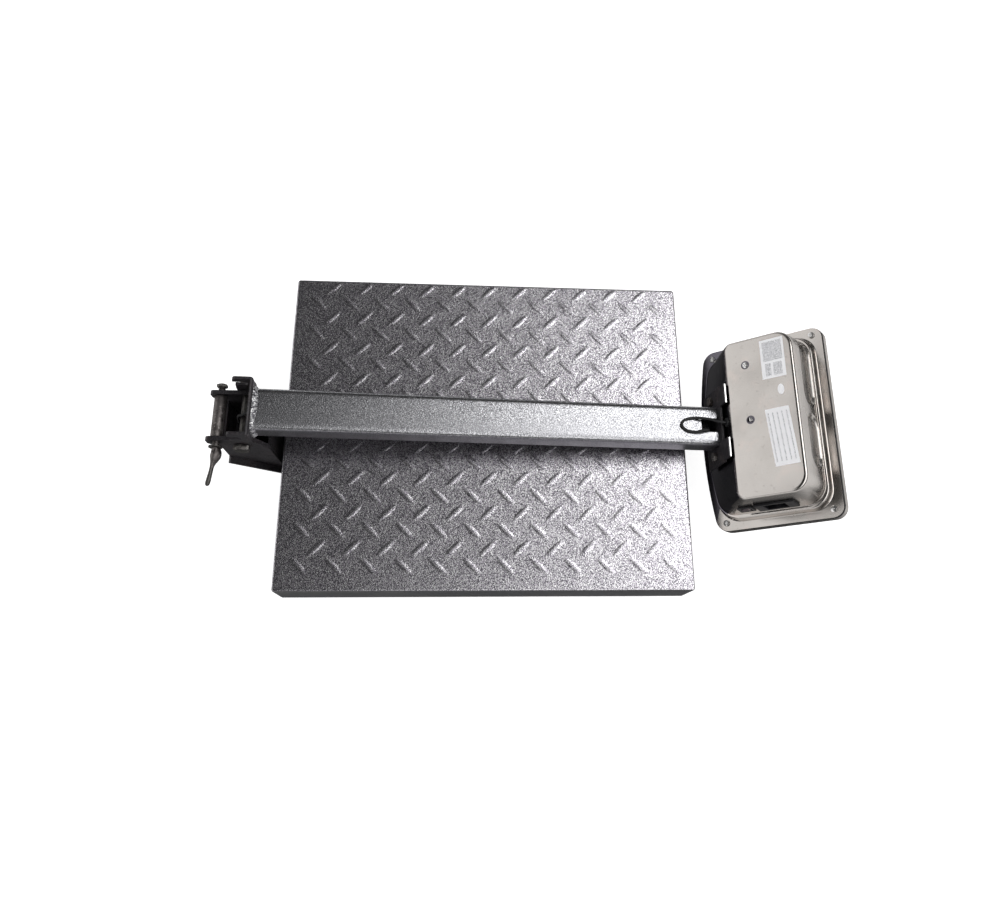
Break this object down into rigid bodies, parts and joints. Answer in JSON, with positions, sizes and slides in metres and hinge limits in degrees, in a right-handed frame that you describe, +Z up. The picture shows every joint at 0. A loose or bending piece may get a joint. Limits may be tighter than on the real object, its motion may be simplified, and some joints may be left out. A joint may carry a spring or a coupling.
{
  "type": "folding platform scale",
  "caption": "Low platform scale with a checkered steel load plate, a hinged column that folds over it and an indicator head on the column.",
  "frame": {"origin": "on the floor, under the middle of the folded scale's outline", "axes": "+X from the hinge to the head, +Y to the back, +Z up"},
  "size_m": [0.7492, 0.4, 0.2308],
  "materials": {
    "frame_paint": "satin dark paint",
    "hammer_paint": "hammertone grey, fine orange peel",
    "silver_paint": "satin silver grey",
    "bracket_paint": "satin dark grey, worn at edges",
    "stainless": "bright drawn stainless sheet",
    "zinc_steel": "zinc plated",
    "weld_metal": "rough painted weld",
    "cell_aluminium": "anodised",
    "rubber": "matt",
    "black_plastic": "fine grain",
    "smoked_plastic": "glossy",
    "key_film": "satin film",
    "board": "solder mask",
    "battery_case": "moulded"
  },
  "bodies": {
    "base": {"base_frame": "frame_paint", "cell_beam": "frame_paint", "top_spider": "frame_paint", "load_plate": "hammer_paint", "hinge_bracket": "bracket_paint", "load_cell": "cell_aluminium", "cable_base": "rubber", "cell_spacer_lower": "zinc_steel", "cell_spacer_upper": "zinc_steel", "lock_sleeve": "zinc_steel", "lock_washer": "zinc_steel", "pivot_bolt": "zinc_steel", "pivot_nut": "zinc_steel", "cell_bolt_1": "zinc_steel", "spider_pad_1": "rubber", "cell_bolt_2": "zinc_steel", "spider_pad_2": "rubber", "cell_bolt_3": "zinc_steel", "spider_pad_3": "rubber", "cell_bolt_4": "zinc_steel", "spider_pad_4": "rubber"},
    "column": {"column_tube": "silver_paint", "foot_bracket": "bracket_paint", "weld_bead": "weld_metal", "column_rest": "rubber", "signal_cable": "rubber", "cable_loop": "rubber", "head_bracket": "bracket_paint", "bracket_bolt_1": "zinc_steel", "bracket_bolt_2": "zinc_steel", "head_grommet": "rubber", "rear_case": "stainless", "case_gasket": "rubber", "front_panel": "stainless", "case_screw_1": "zinc_steel", "case_screw_2": "zinc_steel", "case_screw_3": "zinc_steel", "case_screw_4": "zinc_steel", "back_screw_1": "zinc_steel", "back_screw_2": "zinc_steel", "mains_inlet": "black_plastic", "rocker_frame": "black_plastic", "display_window": "smoked_plastic", "display_board": "board", "keypad": "key_film", "main_board": "board", "battery": "battery_case", "transformer": "zinc_steel"},
    "lock_rod": {"lock_rod": "zinc_steel", "lock_nut": "zinc_steel"},
    "lock_lever": {"lock_lever": "zinc_steel"},
    "rocker": {"power_rocker": "smoked_plastic"},
    "foot_1": {"foot_stud_1": "zinc_steel", "foot_pad_1": "rubber"},
    "foot_2": {"foot_stud_2": "zinc_steel", "foot_pad_2": "rubber"},
    "foot_3": {"foot_stud_3": "zinc_steel", "foot_pad_3": "rubber"},
    "foot_4": {"foot_stud_4": "zinc_steel", "foot_pad_4": "rubber"}
  },
  "joints": [
    {"name": "column_fold", "type": "hinge", "parent": "base", "child": "column", "pos_m": [-0.33361, -0.005, 0.159], "axis": [0, -1, 0], "range_deg": [0, 94.3]},
    {"name": "lock_clamp", "type": "slide", "parent": "base", "child": "lock_rod", "axis": [0, -1, 0], "range_m": [0, 0.0015]},
    {"name": "lock_turn", "type": "hinge", "parent": "lock_rod", "child": "lock_lever", "pos_m": [-0.36361, -0.0487, 0.158], "axis": [0, 0, 1], "range_deg": [0, 90]},
    {"name": "rocker_tip", "type": "hinge", "parent": "column", "child": "rocker", "pos_m": [0.26329, -0.1073, 0.14724], "axis": [0.6627, -0.1068, -0.7412], "range_deg": [0, 16]},
    {"name": "foot_1_height", "type": "slide", "parent": "base", "child": "foot_1", "axis": [0, 0, -1], "range_m": [-0.005, 0.008]},
    {"name": "foot_2_height", "type": "slide", "parent": "base", "child": "foot_2", "axis": [0, 0, -1], "range_m": [-0.005, 0.008]},
    {"name": "foot_3_height", "type": "slide", "parent": "base", "child": "foot_3", "axis": [0, 0, -1], "range_m": [-0.005, 0.008]},
    {"name": "foot_4_height", "type": "slide", "parent": "base", "child": "foot_4", "axis": [0, 0, -1], "range_m": [-0.005, 0.008]}
  ],
  "couplings": [
    {"joint": "lock_turn", "follows": "lock_clamp", "rad_per_m": 1047.2}
  ]
}
